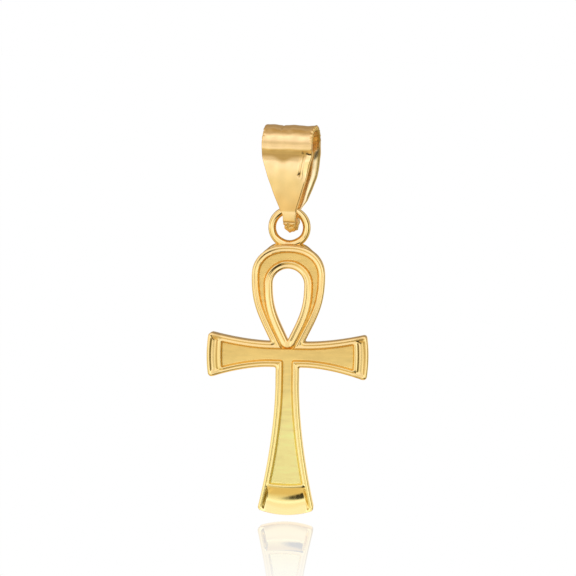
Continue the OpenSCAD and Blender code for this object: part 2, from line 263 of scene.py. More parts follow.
def half_cross(long, end, foot, r):
    """Right half of an outline of the cross, from the middle of its top edge to the middle of its foot.

    The arms' edges rise and fall from their waist as a power of the way out, the stem widens the same
    way towards the foot, the ends swell as parabolas and arcs round the corners. The outline lies inside
    the outer edge by long on the arms and the stem, by end at the arms' ends and by foot at the foot.
    """
    def top(x):
        return ARM_TOP_Z + ARM_UP * arm_flare(x) - long

    def low(x):
        return ARM_LOW_Z - ARM_DOWN * arm_flare(x) + long

    def side(z):
        return stem_half(z) - long

    step = 0.01
    arm_bulge = ARM_BULGE * (1 - ARM_FLATTER * end / END_RIM_W)
    foot_bulge = FOOT_BULGE * (1 - FOOT_FLATTER * foot / FOOT_RIM_H)
    end_x = ARM_SPAN / 2 - arm_bulge - end
    end_top, end_low = np.array([end_x, top(end_x)]), np.array([end_x, low(end_x)])
    bow = np.array([2 * arm_bulge, (end_low[1] - end_top[1]) / 2])
    upper = corner(end_top, unit(np.array([step, top(end_x) - top(end_x - step)])), unit(bow), r)
    lower = corner(end_low, unit(bow * [-1, 1]),
                   unit(np.array([-step, low(end_x - step) - low(end_x)])), r)
    heel_z = FOOT_Z + foot_bulge + foot
    heel_x = side(heel_z)
    heel = corner(np.array([heel_x, heel_z]), unit(np.array([heel_x - side(heel_z + step), -step])),
                  unit(np.array([-heel_x, -2 * foot_bulge])), r)
    armpit = corner(np.array([side(ARM_LOW_Z + long), ARM_LOW_Z + long]),
                    np.array([-1.0, 0.0]), np.array([0.0, -1.0]), ARMPIT_R)
    x_base = np.linspace(0, LOOP_FOOT_W / 2, BASE_STEPS + 1)[:-1]
    x_top = np.linspace(LOOP_FOOT_W / 2, upper[0, 0], TOP_STEPS + 1)[:-1]
    s_end = np.linspace(0, 1, END_STEPS + 1)[1:-1, None]
    out = end_x + arm_bulge - (upper[-1, 0] + lower[0, 0]) / 2
    swell = lerp(upper[-1], lower[0], s_end) + 4 * s_end * (1 - s_end) * [out, 0]
    x_low = np.linspace(lower[-1, 0], armpit[0, 0], LOW_STEPS + 1)[1:-1]
    z_stem = np.linspace(armpit[-1, 1], heel[0, 1], STEM_STEPS + 1)[1:-1]
    s_foot = np.linspace(0, 1, HEEL_STEPS + 1)[1:]
    foot_line = points(lerp(heel[-1, 0], 0, s_foot), lerp(heel[-1, 1], FOOT_Z + foot, 1 - (1 - s_foot) ** 2))
    return np.concatenate([
        points(x_base, top(x_base)), points(x_top, top(x_top)), upper, swell, lower,
        points(x_low, low(x_low)), armpit, points(side(z_stem), z_stem), heel, foot_line,
    ])


def whole(half):
    """A right half that starts and ends on the middle line, with its mirror image, as one closed ring."""
    return np.concatenate([half, half[-2:0:-1] * [-1, 1]])


def edge(d):
    """The cross's outline at a distance d in from its outer edge."""
    return whole(half_cross(d, d, d, CORNER_R - d))


def inside(d):
    """The outline of the cross's field at a distance d out from its edge, or in from it below 0."""
    return whole(half_cross(RIM_W - d, END_RIM_W - d, FOOT_RIM_H - d, max(FIELD_CORNER_R + d, 0.01)))


def half_loop():
    """Right half of the loop's outer edge: a squarish quarter ellipse, then a cubic curve to the foot.

    The cubic's handles are LEG_PULL of its height long, one straight down and one along the slope.
    """
    a = np.linspace(0, math.pi / 2, CURVE_STEPS + 1)
    e = 2 / LOOP_FULLNESS
    top = points(LOOP_W / 2 * np.sin(a) ** e, LOOP_Z + LOOP_RISE * np.cos(a) ** e)
    widest, foot = np.array([LOOP_W / 2, LOOP_Z]), np.array([LOOP_FOOT_W / 2, ARM_TOP_Z])
    h = LOOP_Z - ARM_TOP_Z
    leg = np.array([LEG_SLOPE, 1]) * LEG_PULL * h
    s = np.linspace(0, 1, LEG_STEPS + 1)[1:]
    return np.concatenate([top, bezier(widest, widest - [0, LEG_PULL * h], foot + leg, foot, s)])


def half_eye():
    """Right half of the teardrop hole: a quarter circle, then such a cubic curve down to the point.

    The curve's points crowd towards the point, so that there is one for each point of the loop's edge.
    """
    a = np.linspace(0, math.pi / 2, CURVE_STEPS + 1)
    widest, tip = np.array([EYE_R, EYE_Z]), np.array([0, EYE_TIP_Z])
    h = EYE_Z - EYE_TIP_Z
    leg = np.array([LEG_SLOPE, 1]) * LEG_PULL * h
    s = 1 - (1 - np.linspace(0, 1, LEG_STEPS + BASE_STEPS + 1)[1:]) ** EYE_CROWDING
    curve = bezier(widest, widest - [0, LEG_PULL * h], tip + leg, tip, s)
    return np.concatenate([points(EYE_R * np.sin(a), EYE_Z + EYE_R * np.cos(a)), curve])


# Relief of the front

# How far the wall of the field reaches out and in from the field's edge
WALL_OUT, WALL_IN = 0.06, 0.1
# Half width of the opening in the field's bead, below the point of the hole
NOTCH_HALF = 0.42
# How many times narrower the outer bead is at the foot
FOOT_LIP = 4.0
# Least width and depth of the loop's field, and the growth of its width over which it deepens
LOOP_FIELD_LEAST, LOOP_FIELD_RUN = 0.03, 0.35
# A distance that stands for no field near
NO_FIELD = 9.0
# Least width of a hollow, and the share of a bead's fall that is on its hollow side
LEAST_GAP, BEAD_JOIN = 0.02, 0.2
# How far below the point of the hole its beads have become one
MERGE_RUN = 0.15
# How far before the field's end the scoops start, the run over which they take over from the hollows,
# and how much earlier they start at the foot
END_LEAD, END_RUN, FOOT_LEAD = 0.05, 0.2, 0.1
# Scoops at the ends: the depths of the arms' and the foot's, the run of their side walls, and how flat
# the arms' are. The foot's is deepest at a share of the way from the field, and deeper at its sides.
ARM_SCOOP, FOOT_SCOOP, SCOOP_SIDE = 0.11, 0.27, 0.3
SCOOP_SQUARENESS, FOOT_DEEPEST, FOOT_BOWL = 2.0, 0.46, 0.42
# How much wider the inner bead is at the ends
END_BEAD_MORE = 0.1
# How much painted shade darkens the arms' scoops, and how much rougher they are
SCOOP_SHADE_AND_DULL = 0.35


def relief(p, in_field, in_loop):
    """Height of the front above the back at points p, how much of it is field, and how much painted shade and
    dullness it has.

    Distances give it: to the long edges, to the ends of the arms and the foot, and to the nearest
    field. In from the edge a round bead falls as a circle does, a hollow sinks as a parabola between
    the beads, deeper where it is wide, and an S-shaped wall drops from the inner bead to the field. At
    the ends a wide scoop takes the hollow's place, which on the arms is rougher and painted darker as
    shade. The relief is the same on the left and the right, so all is worked out on the right half.
    """
    p = np.abs(p * [1, 0]) + p * [0, 1]
    x, z = p[:, 0], p[:, 1]
    rim, loop = half_cross(0, 0, 0, CORNER_R), half_loop()
    # Where the parts of the outline end; each reaches to the middle of the corner between them
    ends = np.cumsum([BASE_STEPS, TOP_STEPS, CORNER_STEPS + END_STEPS + CORNER_STEPS + 1,
                      LOW_STEPS - 1 + CORNER_STEPS + STEM_STEPS - 1])
    half = CORNER_STEPS // 2
    arm_top, arm_end = rim[ends[0]:ends[1] + half + 1], rim[ends[1] + half:ends[2] - half + 1]
    stem, foot = rim[ends[2] - half:ends[3] + half + 1], rim[ends[3] + half:]
    eye = half_eye()
    seam = np.array([[0, EYE_TIP_Z], [0, ARM_TOP_Z - RIM_W]])
    d_eye = distance(p, eye)
    d_seam = distance(p, seam)
    d_side = np.minimum(distance(p, arm_top, stem, loop), np.minimum(d_eye, d_seam))
    d_arm, d_foot = distance(p, arm_end), distance(p, foot)
    # The loop's own field, across the band between its outer edge and the hole
    stretched = np.concatenate([loop, loop[-1:] - [[LEG_SLOPE, 1]]])
    d_leg = distance(p, stretched)
    span = d_leg + d_eye
    fit = np.minimum(1, (span - LOOP_FIELD_LEAST) / (RIM_W + EYE_RIM_W))
    in_leg = (z <= ARM_TOP_Z + TINY) & (x < LOOP_FOOT_W / 2 + (z - ARM_TOP_Z) * LEG_SLOPE) & ~in_field
    f_loop = np.where(in_loop | in_leg & (z > ARM_TOP_Z - RIM_W),
                      np.maximum(RIM_W * fit - d_leg, EYE_RIM_W * fit - d_eye), NO_FIELD)
    loop_depth = lerp(LOOP_FIELD_LEAST, FIELD_DEPTH,
                      np.clip((span - RIM_W - EYE_RIM_W) / LOOP_FIELD_RUN, 0, 1))
    # The cross's field, whose inner bead is open where the point of the hole comes down to it
    field = half_cross(RIM_W, END_RIM_W, FOOT_RIM_H, FIELD_CORNER_R)
    f_cross = distance(p, field) * np.where(in_field, -1, 1)
    beaded = field[int(NOTCH_HALF / LOOP_FOOT_W * 2 * BASE_STEPS):]
    f_bead = np.where(in_field, f_cross, distance(p, beaded))
    on_loop = f_loop < f_cross
    f_wall = np.where(on_loop, f_loop, f_cross)
    depth = np.where(on_loop, loop_depth, FIELD_DEPTH)
    f = np.minimum(f_loop, f_bead)
    # Hollows along the long edges
    gap = np.maximum(d_side + np.maximum(f, 0) - BEAD_W - INNER_BEAD_W, LEAST_GAP)
    t = np.clip((d_side - BEAD_W) / gap, 0, 1)
    narrow = HOLLOW_DEPTH * (1 - np.exp(-gap / HOLLOW_RUN)) * (1 - (2 * t - 1) ** 2)
    # Scoops at the ends
    at_foot = z < ARM_LOW_Z - ARM_DOWN - 1
    past_end = np.maximum(x - field[:, 0].max(), field[:, 1].min() + FOOT_LEAD - z)
    at_end = smooth((past_end + END_LEAD) / END_RUN)
    d_end = np.where(at_foot, d_foot, d_arm)
    end_bead = np.where(at_foot, BEAD_W / FOOT_LIP, BEAD_W)
    inner_w = INNER_BEAD_W + END_BEAD_MORE * at_end
    end_gap = np.maximum(d_end + np.maximum(f, 0) - end_bead - inner_w, LEAST_GAP)
    t = np.clip((d_end - end_bead) / end_gap, 0, 1)
    scoop = 1 - np.abs(2 * t - 1) ** SCOOP_SQUARENESS
    from_field = (1 - t - FOOT_DEEPEST) / np.where(1 - t < FOOT_DEEPEST, FOOT_DEEPEST, 1 - FOOT_DEEPEST)
    bowl = 1 + FOOT_BOWL * (x / stem_half(z)) ** 2
    wide = np.where(at_foot, FOOT_SCOOP * (1 - from_field ** 2) * bowl, ARM_SCOOP * scoop)
    wide *= smooth((d_side - BEAD_W) / SCOOP_SIDE)
    hollow = lerp(narrow, wide, at_end)
    # Beads, and the wall down to the field
    join = BEAD_JOIN * BEAD_ROUND
    d = np.minimum(d_side, np.minimum(d_arm, FOOT_LIP * d_foot))
    q = np.where(d < BEAD_TOP, d / BEAD_TOP - 1, (d - BEAD_TOP) / (BEAD_W - BEAD_TOP))
    merged = smooth((EYE_TIP_Z - z) / MERGE_RUN) * (d_seam < BEAD_TOP)
    fall = BEAD_ROUND * (1 - np.sqrt(np.clip(1 - q * q, 0, 1))) * (1 - merged)
    outer = np.where(q < 0, fall, join * q * q)
    inner = join * np.clip(2 * f / inner_w - 1, 0, 1) ** 2
    drop = np.where(d < BEAD_W, outer, np.where(f < inner_w, inner, join + hollow))
    wall = passing(f_wall, WALL_OUT, -WALL_IN)
    # Painted shade in the arms' scoops, deepest in their middles; it makes them rougher too
    dull = SCOOP_SHADE_AND_DULL * at_end * ~at_foot * (1 - wall) * np.sqrt(scoop)
    return CAST_T - lerp(drop, depth, wall), wall, dull


# Rings of the casting: distances in from the outer edge, shares of the hollow, and distances out from
# the field's edge
OUTER_ROWS = BEAD_W * np.array([0, 0.04, 0.12, 0.24, 0.4, 0.56, 0.72, 0.86, 1])
HOLLOW_ROWS = np.linspace(0, 1, 23)[1:-1]
INNER_ROWS = np.concatenate([INNER_BEAD_W * np.linspace(1, 0.35, 6), np.linspace(WALL_OUT, -WALL_IN, 11)[1:],
                             [-WALL_IN - 0.04]])
# Rings of the loop's band, and how much they crowd towards its two edges
BAND_STEPS, BAND_CROWDING = 56, 0.035


def wall_rows(ring, way, held):
    """Two rows of a side wall below a ring: the bevel's edge, and the back's edge.

    They step square to the ring's tangent, by DRAFT and then by BACK_BEVEL, inwards for a way of 1 and
    outwards for -1. Held points go straight back.
    """
    step = np.roll(ring, -1, 0) - np.roll(ring, 1, 0)
    step = way * step / np.maximum(np.hypot(*step.T), TINY)[:, None]
    free = ~held[:, None]
    toward = free * points(step[:, 1], -step[:, 0])
    deep = ring + DRAFT * toward
    low = deep + BACK_BEVEL * toward
    return np.concatenate([np.insert(deep, 1, HALF_T, 1) - [0, BACK_BEVEL, 0] * free,
                           np.insert(low, 1, HALF_T, 1)])


def casting_mesh():
    """Points, quads, caps and marks of the casting without its ring.

    The cross is rings between its outer edge and its field, and the loop is rings between its own edge
    and the hole. Both share the line where the loop's legs stand on the arms. The caps are the middle
    of the field and the back of the cross.
    """
    hollow_out, hollow_in = edge(BEAD_W), inside(INNER_BEAD_W)
    cross = np.stack([edge(d) for d in OUTER_ROWS] + [lerp(hollow_out, hollow_in, t) for t in HOLLOW_ROWS]
                     + [inside(d) for d in INNER_ROWS])
    base = points(np.linspace(LOOP_FOOT_W / 2, 0, BASE_STEPS + 1)[1:], ARM_TOP_Z)
    outer, eye = whole(np.concatenate([half_loop(), base])), whole(half_eye())
    ease = np.linspace(0, 1, BAND_STEPS + 1)
    across = ease - BAND_CROWDING * np.sin(2 * np.pi * ease)
    band = lerp(outer, eye, across[:, None, None])
    flat = np.concatenate([cross.reshape(-1, 2), band.reshape(-1, 2)])
    rows, count = cross.shape[:2]
    order = np.arange(len(flat))
    in_loop = order >= rows * count
    in_field = ~in_loop & (order >= (rows - np.sum(INNER_ROWS < 0)) * count)
    high, satin, dull = relief(flat, in_field, in_loop)
    cross_id, band_id = order[~in_loop].reshape(rows, count), order[in_loop].reshape(band.shape[:2])
    verts = [np.stack([flat[:, 0], HALF_T - high, flat[:, 1]], -1)]
    faces = [grid_faces(cross_id, True), grid_faces(band_id, True)]

    def add_wall(ring, top, way, held, shared):
        """Adds the wall below a ring, but not where it is shared, and returns its last row's numbers."""
        ids = sum(map(len, verts)) + np.arange(2 * len(ring)).reshape(2, -1)
        verts.append(wall_rows(ring, way, held))
        wall = grid_faces(np.stack([ids[1], ids[0], top])[::way], True)
        faces.append(wall[~np.tile(shared, 2)])
        return ids[1]

    index = np.arange(count)
    cross_back = add_wall(cross[0], cross_id[0], 1, (index <= BASE_STEPS) | (index >= count - BASE_STEPS),
                          (index < BASE_STEPS) | (index >= count - BASE_STEPS))
    index = np.arange(len(outer)) - len(outer) // 2
    outer_back = add_wall(outer, band_id[0], 1, np.abs(index) <= BASE_STEPS,
                          (index >= -BASE_STEPS) & (index < BASE_STEPS))
    nowhere = np.zeros(len(eye), bool)
    eye_back = add_wall(eye, band_id[-1], -1, nowhere, nowhere)
    faces.append(grid_faces(np.stack([eye_back, outer_back]), True))
    verts = np.concatenate(verts)
    rest = np.zeros(len(verts) - len(flat))
    marks = {"worked": np.concatenate([satin, rest]), "dull": np.concatenate([dull, rest])}
    return verts, np.concatenate(faces), [cross_id[-1], cross_back[::-1]], marks


# Ring and its solder

RING_STEPS, WIRE_STEPS, SOLDER_STEPS, SOLDER_ROUND_STEPS = 192, 48, 80, 40
# Angles from the ring's lowest point at which it starts to swell and is swollen, and how much it grows
# inwards, in its wire's radius and from front to back
SWELL_FROM, SWELL_FULL = math.radians(60), math.radians(26)
SWELL_IN, SWELL_WIRE, SWELL_THICK = 0.02, 0.03, 0.06
SOLDER_H, SOLDER_FLAT, SOLDER_REACH, SOLDER_HALF_T, SOLDER_SUNK = 0.19, 1.15, 1.98, 0.5, 0.12
# Half thickness of the solder at its ends, and the share of its reach where it has its full one
SOLDER_THIN, SOLDER_FULL = 0.2, 0.7


def ring_mesh():
    """The ring of round wire: an ellipse carried round a circle, a little thicker where it is soldered."""
    around, about = turns(RING_STEPS)[:, None], turns(WIRE_STEPS)[None]
    from_low = np.abs((around + np.pi) % (2 * np.pi) - np.pi)
    near = passing(from_low, SWELL_FROM, SWELL_FULL)
    rho = RING_R - SWELL_IN * near + (WIRE_R + SWELL_WIRE * near) * np.cos(about)
    y = -(WIRE_R + SWELL_THICK * near) * np.sin(about)
    verts = np.stack(np.broadcast_arrays(rho * np.sin(around), y, RING_Z - rho * np.cos(around)), -1)
    return tube(verts, joined=True)


def solder_mesh():
    """The solder between the ring and the loop: an ellipse carried along the loop's top edge.

    It stands SOLDER_H above the edge in the middle, and eases down to nothing on both shoulders.
    """
    a, about = np.linspace(-1, 1, SOLDER_STEPS + 1)[:, None], turns(SOLDER_ROUND_STEPS)[None]
    x = SOLDER_REACH * a
    z = LOOP_Z + LOOP_RISE * (1 - np.abs(2 * x / LOOP_W) ** LOOP_FULLNESS) ** (1 / LOOP_FULLNESS)
    rise = SOLDER_H * passing(np.abs(x), SOLDER_REACH, SOLDER_FLAT)
    thick = lerp(SOLDER_THIN, SOLDER_HALF_T, passing(np.abs(a), 1, SOLDER_FULL))
    high = (rise + SOLDER_SUNK) * np.cos(about)
    verts = np.stack(np.broadcast_arrays(x, -thick * np.sin(about), z - SOLDER_SUNK + high), -1)
    return tube(verts, joined=False)


# Bail

FOLD_STEPS, BAIL_LEG_STEPS, TIP_STEPS = 48, 80, 54
ACROSS_STEPS, THROUGH_STEPS, ROUND_STEPS = 56, 5, 4
EDGE_ROUND = 0.07
# Levels of the solder tip from its bottom up, with its half widths on the left and on the right
TIP_SIDES = np.array([(-6.75, 0.05, 0.16), (-6.68, 0.09, 0.3), (-6.6, 0.14, 0.41), (-6.5, 0.2, 0.48),
                      (-6.38, 0.27, 0.53), (-6.2, 0.34, 0.56), (-6.05, 0.36, 0.56), (-5.95, 0.36, 0.55)])
# How much wider than its smooth form the front leg and the back leg are on the right, and how much
# narrower the neck is on the left
FRONT_MORE, BACK_MORE, NECK_LESS = 0.11, 0.27, 0.17
# How far the back leg's right edge curls away
BACK_CURL = 0.2


def taper(s):
    """Share of the bail's extra width that is left at a share of its drop.

    It falls from 1 to 0 in a straight line, which hyperbolas round off at both ends, and is then raised
    to a power.
    """
    left = (TAPER_END - s) / (TAPER_END - TAPER_START)
    top = (left + 1) / 2 - np.sqrt(((left - 1) / 2) ** 2 + TAPER_EASE ** 2)
    return (top / 2 + np.sqrt((top / 2) ** 2 + TAPER_EASE ** 2)) ** TAPER_POWER


def leg_half(s):
    """How far each leg is from the middle at a share of the bail's drop.

    It is a straight line from the fold to the slot, bowed out by half a sine wave, less a bell curve
    for the crease.
    """
    crease = CREASE_DEPTH * np.exp(-((s - CREASE_AT) / CREASE_RUN) ** 2 / 2)
    return lerp(CHANNEL_R + SHEET_T / 2, GAP_R + SHEET_T / 2, s) + LEG_BOW * np.sin(np.pi * s) - crease


def side_outline(out, end_h, fullness):
    """Closed outline of the bail from the side, at a distance out from the middle of its sheet.

    A half circle over the top, a bowed leg down, a superellipse round the bottom and the other leg up.
    """
    a = np.linspace(np.pi / 2, 0, FOLD_STEPS + 1)[:-1]
    r = CHANNEL_R + SHEET_T / 2 + out
    over = points(r * np.cos(a), r * np.sin(a))
    s = np.linspace(0, 1, BAIL_LEG_STEPS + 1)[:-1]
    down = points(leg_half(s) + out, -s * BAIL_DROP)
    b, e = np.linspace(0, np.pi / 2, TIP_STEPS + 1), 2 / fullness
    end = points((GAP_R + SHEET_T / 2 + out) * np.cos(b) ** e, -BAIL_DROP - end_h * np.sin(b) ** e)
    end[-1, 0] = 0
    return whole(np.concatenate([over, down, end]))


def strip_section():
    """Four rows for the strip's section, a rectangle with round corners, all the way round.

    They are the place across the flat from -1 to 1, what a corner's round adds to it, the place through
    the sheet from 0 to 1, and what a corner's round adds to that. The sine and the cosine of the angle
    round a corner give what it adds, as shares of its radius.
    """
    q = np.linspace(0, np.pi / 2, ROUND_STEPS + 1)[:-1]
    flat = np.linspace(-1, 1, ACROSS_STEPS + 1)[:-1]
    side = np.linspace(0, 1, THROUGH_STEPS + 1)[:-1]
    level, one, wide = 0 * flat, np.ones(ROUND_STEPS), np.ones(THROUGH_STEPS)
    across = np.concatenate([flat, one, wide, one, -flat, -one, -wide, -one])
    bulge = np.concatenate([level, np.sin(q), wide, np.cos(q), level, -np.sin(q), -wide, -np.cos(q)])
    through = np.concatenate([level, 0 * one, side, one, level + 1, one, 1 - side, 0 * one])
    depth = np.concatenate([level - 1, -np.cos(q), 0 * side, np.sin(q),
                            level + 1, np.cos(q), 0 * side, -np.sin(q)])
    return across, bulge, through, depth


def ripple(p, length, seed, waves=16):
    """Soft noise between about -1 and 1: a sum of sine waves of about one length in random directions."""
    rng = np.random.default_rng(seed)
    way = rng.normal(size=(3, waves))
    way *= 2 * np.pi / length * rng.uniform(0.7, 1.4, waves) / np.linalg.norm(way, axis=0)
    return np.sin(p @ way + rng.uniform(0, 2 * np.pi, waves)).sum(-1) / math.sqrt(waves)


def front_marks(u, z):
    """How far the bail's front leg stands out of its smooth form, at a share of its half width and a level.

    Under the fold a wavy lip steps in and eases out again. The right edge rolls back with two ridges
    and a furrow, a small dent lies beside it, and a crease crosses above the solder tip. Bell curves
    and smooth passages give them their places, and heights in millimetres their sizes.
    """
    lip = -0.28 + 0.02 * np.sin(5 * u + 1) + 0.012 * np.sin(12 * u) - 0.06 * np.maximum(0, u - 0.4)
    below = lip - z
    step = -0.03 * passing(below, 0, 0.1) * passing(below, 0.9, 0.1)
    rolled = passing(z, -0.2, -0.8) * passing(z, -3.2, -1.6)
    edge_roll = -0.24 * np.clip((u - 0.5) / 0.5, 0, 1) ** 2
    ridges = 0.02 * bell(u, 0.6, 0.035) - 0.035 * bell(u, 0.68, 0.035) + 0.02 * bell(u, 0.78, 0.05)
    ridges *= passing(z, -2.7, -1.8)
    dent = -0.05 * bell(u, 0.64, 0.07) * bell(z, -2.2, 0.14)
    crease = -0.05 * bell(z, -5.9, 0.06)
    return step + rolled * (edge_roll + ridges) + dent + crease


def dull_and_shade_marks(u, z):
    """Where shade is painted on the bail's front, from 0 to 1, which also makes it rougher: under the lip,
    and in the small marks.

    Bell curves and smooth passages in the same places as the marks in its form give it.
    """
    # Painted shade and painted dark reflection in a band under the lip, painted shade in the dent, the furrow
    # and the crease, and a soft band over the lip
    low = -1.12 - 0.33 * bell(u, -0.1, 0.4) + 0.04 * np.sin(9 * u)
    band = passing(z, -0.17, -0.53) * passing(z, low, low + 0.5) * passing(u, 0.92, 0.72)
    dent = bell(u, 0.64, 0.055) * bell(z, -2.2, 0.15)
    furrow = 0.6 * bell(u, 0.68, 0.03) * passing(z, -0.6, -0.9) * passing(z, -2.6, -2.0)
    crease = bell(z, -5.9, 0.05)
    over = 0.35 * bell(z, 0.08, 0.3)
    return np.clip(band + dent + furrow + crease + over, 0, 1)


def inner_dull_and_shade_marks(u, z):
    """The same for the inner face: painted shade in the gap behind the front leg, along its right edge, and
    mottled inside the fold.
    """
    gap = bell(u, 0.66, 0.09) * passing(z, -0.3, -1.1) * (1 - 0.8 * passing(z, -2.2, -3.5))
    rim = 0.8 * passing(u, 0.86, 0.93) * passing(z, -5, -4)
    waves = np.sin(9 * z + 3 * u) * np.sin(23 * z - 14 * u)
    fold_shade = passing(z, -0.2, 0.3) * np.clip(0.2 + 0.6 * waves, 0, 1)
    return np.clip(gap + rim + fold_shade, 0, 1)


def bail_mesh():
    """The folded strip and its solder tip as one closed band.

    The band's two directions are the way round the side view, between the inner and the outer outline,
    and the way round the strip's section. The width narrows down to the neck, and ends in a lump that
    is cut off slantwise on the left. The marks and the noise then move each point out or in.
    """
    outer = side_outline(SHEET_T / 2, FLOOR_H + TIP_H, TIP_FULLNESS)
    inner = side_outline(-SHEET_T / 2, FLOOR_H, SLOT_FULLNESS)
    thick = np.hypot(*(outer - inner).T)[:, None]
    across, bulge, through, depth = strip_section()
    t = (EDGE_ROUND * (1 + depth) + through * (thick - 2 * EDGE_ROUND)) / thick
    y, z = np.moveaxis(lerp(outer[:, None], inner[:, None], t[..., None]), -1, 0)
    # Widths, which are not the same on the left and the right
    half = lerp(NECK_W, BAIL_W, taper(np.maximum(-z / BAIL_DROP, 0))) / 2
    front_more = FRONT_MORE * passing(z, -1.2, -2.7)
    back_more = BACK_MORE * passing(z, -0.6, -2.8) * passing(z, -5.3, -4.3)
    right_more = lerp(front_more, back_more, passing(y, -0.3, 0.3))
    half = half + np.where(across < 0, -NECK_LESS * passing(z, -4.9, -5.4), right_more)
    level, left, right = TIP_SIDES.T
    lump = np.where(across < 0, np.interp(z, level, left), np.interp(z, level, right))
    half = np.where(z < level[-1], lump, half)
    corner_r = np.minimum(EDGE_ROUND, 0.4 * half)
    x = across * (half - corner_r) + bulge * corner_r
    # Marks of the two legs, at a share of the half width
    u = np.clip(x / half, -1, 1)
    in_front, behind = passing(y, 0, -0.5), passing(y, 0, 0.5)
    curl = BACK_CURL * np.clip((u - 0.68) / 0.32, 0, 1) ** 2 * passing(z, -0.1, -0.9) * passing(z, -5.2, -3.7)
    # Painted shade on the bail's front and on its inner face, where the gold is also rougher
    dull = in_front * (1 - t) * dull_and_shade_marks(u, z) + behind * t * inner_dull_and_shade_marks(u, z)
    y = y - in_front * front_marks(u, z) + behind * curl
    place = np.stack([x, y, z], -1)
    # Granular solder at the tip, a pitted cut at the right end of the fold, and faint unevenness all over
    solder = passing(z, -5.86, -6.08)
    cut = passing(np.abs(u), 0.88, 0.98) * passing(z, 0.05, 0.4) * np.where(u < 0, 0.6, 1)
    along = np.roll(place, -1, 0) - np.roll(place, 1, 0)
    round_it = np.roll(place, -1, 1) - np.roll(place, 1, 1)
    out = np.cross(round_it, along)
    out /= np.maximum(np.linalg.norm(out, axis=-1, keepdims=True), TINY)
    rough = (0.03 * solder * (ripple(place, 0.42, 3) + 0.7 * ripple(place, 0.2, 4))
             + 0.028 * cut * (ripple(place, 0.3, 5) + 0.6 * ripple(place, 0.17, 6))
             + 0.006 * ripple(place, 1.1, 7))
    rough += passing(z, 1.0, 1.4) * (0.02 * np.sin(7 * u + 0.6) + 0.007 * np.sin(17 * u)
                                     - 0.05 * bell(u, -0.31, 0.05))
    x, y, z = np.moveaxis(place + out * rough[..., None], -1, 0)
    c, s = math.cos(BAIL_TURN), math.sin(BAIL_TURN)
    marks = {"worked": np.maximum(solder, 0.8 * cut), "inner": t, "dull": dull}
    return *tube(np.stack([x * c - y * s, x * s + y * c, z], -1), joined=True), marks


# Nodes

WHITE = (1.0, 1.0, 1.0)


def add_node(tree, kind, inputs=None, **settings):
    """A new node with its settings, and its inputs given as values or as outputs to link from."""
    node = tree.nodes.new(kind)
    for key, value in settings.items():
        setattr(node, key, value)
    for key, value in (inputs or {}).items():
        if isinstance(value, bpy.types.NodeSocket):
            tree.links.new(value, node.inputs[key])
        else:
            node.inputs[key].default_value = value
    return node


def maths(tree, operation, *values, kind="ShaderNodeMath"):
    """What an operation gives on numbers, or on vectors with the other kind of node."""
    return add_node(tree, kind, dict(enumerate(values)), operation=operation).outputs[0]


def vector_maths(tree, operation, *values):
    """What an operation gives on vectors, colours, or numbers that are taken as vectors."""
    return maths(tree, operation, *values, kind="ShaderNodeVectorMath")


def mapped(tree, value, low, high, start=0.0, end=1.0):
    """Goes in a straight line from low where the value is start to high where it is end."""
    return add_node(tree, "ShaderNodeMapRange", {
        "Value": value, "From Min": start, "From Max": end, "To Min": low, "To Max": high}).outputs[0]


def mix(tree, share, first, second):
    """The colour at a share of the way between two, each an output or three values."""
    first, second = (colour if isinstance(colour, bpy.types.NodeSocket) else (*colour, 1)
                     for colour in (first, second))
    return add_node(tree, "ShaderNodeMix", {0: share, 6: first, 7: second}, data_type="RGBA").outputs[2]


def noise(tree, place, scale, detail, roughness=0.5):
    """Soft noise between 0 and 1 over a place."""
    return add_node(tree, "ShaderNodeTexNoise", {
        "Vector": place, "Scale": scale, "Detail": detail, "Roughness": roughness}).outputs["Fac"]


def ramp(tree, factor, stops):
    """A colour ramp with the stops given as (place, colour)."""
    node = add_node(tree, "ShaderNodeValToRGB", {"Fac": factor})
    marks = node.color_ramp.elements
    marks[0].position, marks[1].position = stops[0][0], stops[-1][0]
    for place, _ in stops[1:-1]:
        marks.new(place)
    for mark, (_, colour) in zip(marks, stops):
        mark.color = (*colour, 1)
    return node.outputs["Color"]


def new_group(name, values):
    """An empty node group with number inputs by name, and outputs for a height and a mask."""
    tree = bpy.data.node_groups.new(name, "ShaderNodeTree")
    for key, default in values.items():
        tree.interface.new_socket(key, in_out="INPUT", socket_type="NodeSocketFloat").default_value = default
    for key in ("Height", "Mask"):
        tree.interface.new_socket(key, in_out="OUTPUT", socket_type="NodeSocketFloat")
    return tree, tree.nodes.new("NodeGroupInput").outputs


def end_group(tree, height, mask):
    """Links a group's two outputs and returns the group."""
    out = tree.nodes.new("NodeGroupOutput")
    tree.links.new(height, out.inputs["Height"])
    tree.links.new(mask, out.inputs["Mask"])
    return tree


def satin_grain_group():
    """Fine grain of a blasted or cast surface, with a slow mottling as its mask."""
    tree, given = new_group("satin grain", {"Scale": 22000.0, "Mottling scale": 1500.0})
    place = tree.nodes.new("ShaderNodeTexCoord").outputs["Object"]
    wide = add_node(tree, "ShaderNodeMapping", {"Vector": place, "Scale": (0.4, 1.0, 1.7)}).outputs[0]
    return end_group(tree, noise(tree, place, given["Scale"], 3.0, 0.65),
                     noise(tree, wide, given["Mottling scale"], 4.0, 0.6))


def polish_group():
    """Soft waves and fine rubbed streaks that hand polishing leaves, with worn places as its mask."""
    tree, given = new_group("hand polish", {"Scale": 2200.0, "Streaks": 0.25})
    place = tree.nodes.new("ShaderNodeTexCoord").outputs["Object"]
    wave = noise(tree, place, given["Scale"], 1.5, 0.4)
    long = add_node(tree, "ShaderNodeMapping", {"Vector": place, "Scale": (9000, 9000, 900)}).outputs[0]
    streak = noise(tree, long, 1.0, 2.0)
    return end_group(tree, maths(tree, "MULTIPLY_ADD", streak, given["Streaks"], wave), streak)


# Gold

